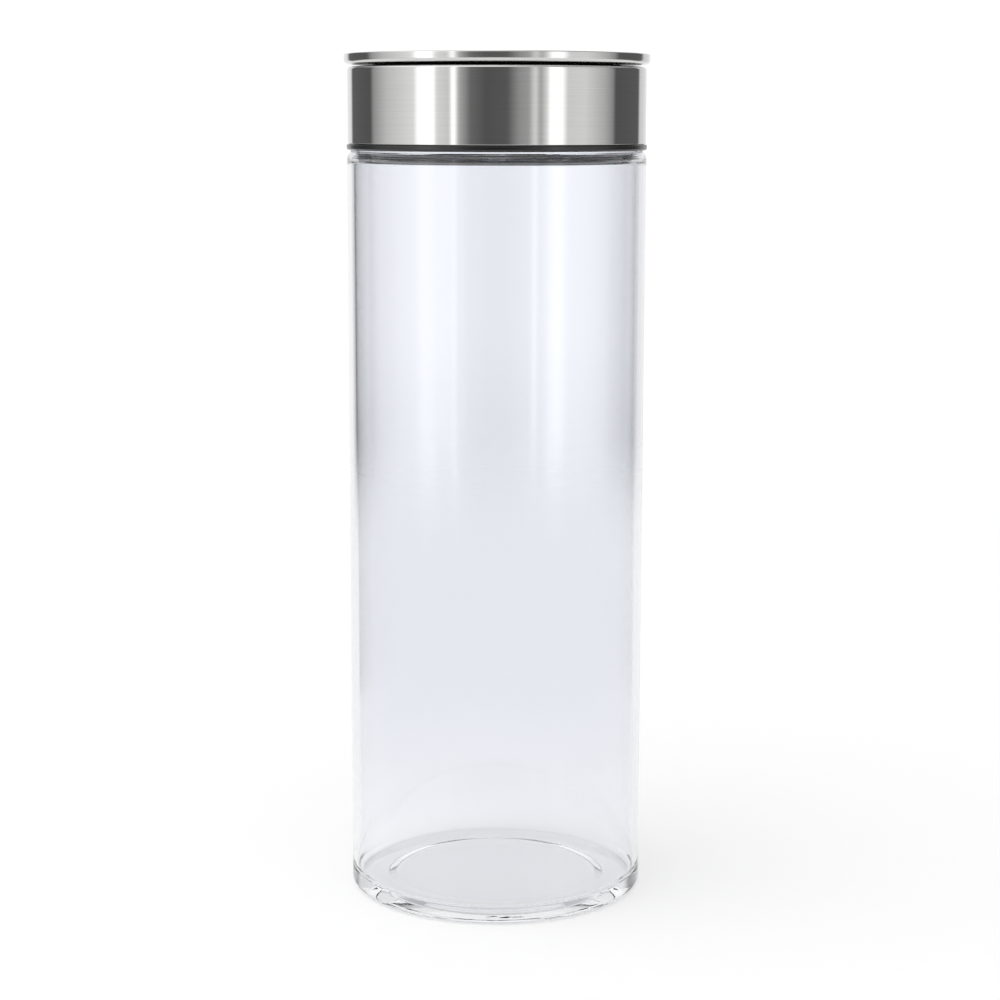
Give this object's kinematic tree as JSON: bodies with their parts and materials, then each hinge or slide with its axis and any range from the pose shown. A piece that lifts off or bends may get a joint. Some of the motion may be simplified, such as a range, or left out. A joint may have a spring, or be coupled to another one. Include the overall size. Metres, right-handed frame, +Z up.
{
  "type": "lidded glass canister",
  "caption": "Tall straight-walled clear glass storage canister with a stainless steel press-pump vacuum lid, a black foot ring and a flush release button.",
  "frame": {"origin": "centre of the jar's base, on the surface it stands on", "axes": "+Z up the jar's axis; -Y is the front; the shape is round, so X and Y differ only by the hidden valves"},
  "size_m": [0.1018, 0.1018, 0.2842],
  "materials": {
    "clear_glass": "clear polished borosilicate glass",
    "black_plastic": "black moulded plastic, satin",
    "band_steel": "fine brushed, near mirror",
    "disc_steel": "fine circular brushing",
    "silicone": "translucent white silicone, matte",
    "spring_steel": "drawn spring wire",
    "screw_steel": "plain stainless"
  },
  "bodies": {
    "jar": {"glass_jar": "clear_glass"},
    "lid": {"lid_housing": "black_plastic", "lid_band": "band_steel", "mouth_gasket": "silicone", "chamber_floor": "black_plastic", "floor_seal": "silicone", "intake_valve": "silicone", "return_spring": "spring_steel", "release_spring": "spring_steel"},
    "plunger": {"plunger_core": "black_plastic", "piston_seal": "silicone", "exhaust_valve": "silicone", "plunger_cap": "black_plastic", "top_disc": "disc_steel", "button_spring": "spring_steel", "cap_screw_1": "screw_steel", "cap_screw_2": "screw_steel", "cap_screw_3": "screw_steel"},
    "button": {"release_button": "disc_steel", "button_clip": "screw_steel"},
    "release_valve": {"release_stem": "black_plastic", "release_plug": "silicone"}
  },
  "joints": [
    {"name": "lid_lift", "type": "slide", "parent": "jar", "child": "lid", "axis": [0, 0, 1], "range_m": [0, 0.04]},
    {"name": "pump_stroke", "type": "slide", "parent": "lid", "child": "plunger", "axis": [0, 0, 1], "range_m": [0, 0.006], "deforming": ["return_spring"]},
    {"name": "button_press", "type": "slide", "parent": "plunger", "child": "button", "axis": [0, 0, -1], "range_m": [0, 0.0015], "stiffness_N_per_m": 300, "springref_m": -0.003, "deforming": ["button_spring"]},
    {"name": "release_valve_slide", "type": "slide", "parent": "lid", "child": "release_valve", "axis": [0, 0, -1], "range_m": [0, 0.0015], "deforming": ["release_spring"]}
  ],
  "couplings": [
    {"joint": "release_valve_slide", "follows": "button_press", "ratio": 1}
  ]
}
